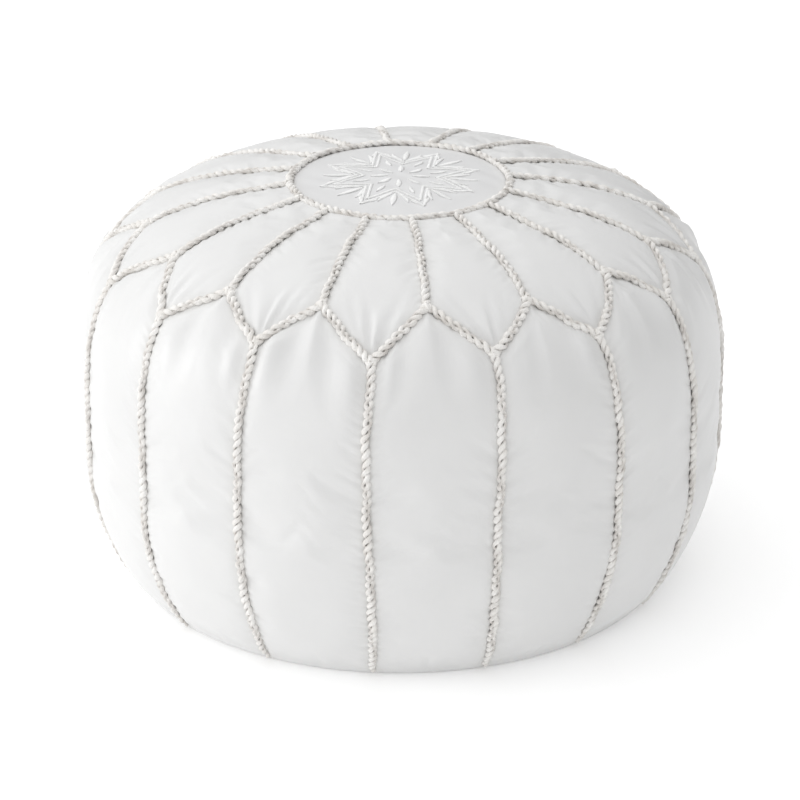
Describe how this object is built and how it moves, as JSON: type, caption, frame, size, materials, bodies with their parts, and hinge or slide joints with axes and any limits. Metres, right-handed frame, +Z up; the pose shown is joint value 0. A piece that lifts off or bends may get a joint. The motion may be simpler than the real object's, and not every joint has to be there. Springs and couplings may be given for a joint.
{
  "type": "moroccan leather pouf",
  "caption": "Low round stuffed leather floor pouf with petal-pieced top, raised stitched seams, embroidered medallion and a zipped base.",
  "frame": {"origin": "centre of the circle that the pouf stands on, at floor level", "axes": "+Z up along the axis of the round body; the zip in the base runs along Y and is closed with its slider at the +Y end"},
  "size_m": [0.521, 0.521, 0.3315],
  "materials": {
    "white_leather": "smooth satin dyed goat leather",
    "seam_thread": "waxed whip stitch over a rolled leather edge",
    "silk_thread": "glossy satin-stitched silk",
    "lining_cotton": "plain woven unbleached cotton",
    "filling": "matt loose polyester fibre",
    "zip_tape": "matt woven herringbone tape",
    "zip_teeth": "moulded satin plastic",
    "zip_metal": "satin nickel plate"
  },
  "bodies": {
    "cover": {"top_medallion": "white_leather", "petal_01": "white_leather", "petal_02": "white_leather", "petal_03": "white_leather", "petal_04": "white_leather", "petal_05": "white_leather", "petal_06": "white_leather", "petal_07": "white_leather", "petal_08": "white_leather", "petal_09": "white_leather", "petal_10": "white_leather", "petal_11": "white_leather", "petal_12": "white_leather", "petal_13": "white_leather", "petal_14": "white_leather", "petal_15": "white_leather", "petal_16": "white_leather", "side_panel_01": "white_leather", "side_panel_02": "white_leather", "side_panel_03": "white_leather", "side_panel_04": "white_leather", "side_panel_05": "white_leather", "side_panel_06": "white_leather", "side_panel_07": "white_leather", "side_panel_08": "white_leather", "side_panel_09": "white_leather", "side_panel_10": "white_leather", "side_panel_11": "white_leather", "side_panel_12": "white_leather", "side_panel_13": "white_leather", "side_panel_14": "white_leather", "side_panel_15": "white_leather", "side_panel_16": "white_leather", "base_panel_left": "white_leather", "base_panel_right": "white_leather", "base_tabs": "white_leather", "medallion_seam": "seam_thread", "petal_seams": "seam_thread", "chevron_seam": "seam_thread", "side_seams": "seam_thread", "base_seam": "seam_thread", "seam_knots": "seam_thread", "medallion_embroidery": "silk_thread", "inner_liner": "lining_cotton", "stuffing": "filling", "zip_tape_left": "zip_tape", "zip_tape_right": "zip_tape", "zip_teeth_left": "zip_teeth", "zip_teeth_right": "zip_teeth", "zip_bottom_stop": "zip_teeth", "zip_top_stops": "zip_teeth"},
    "slider": {"zip_slider": "zip_metal"},
    "pull": {"zip_pull": "zip_metal"}
  },
  "joints": [
    {"name": "zip_slide", "type": "slide", "parent": "cover", "child": "slider", "axis": [0, -1, 0], "range_m": [0, 0.27]},
    {"name": "pull_swing", "type": "hinge", "parent": "slider", "child": "pull", "pos_m": [0, 0.138, 0.00485], "axis": [1, 0, 0], "range_deg": [0, 180]}
  ]
}
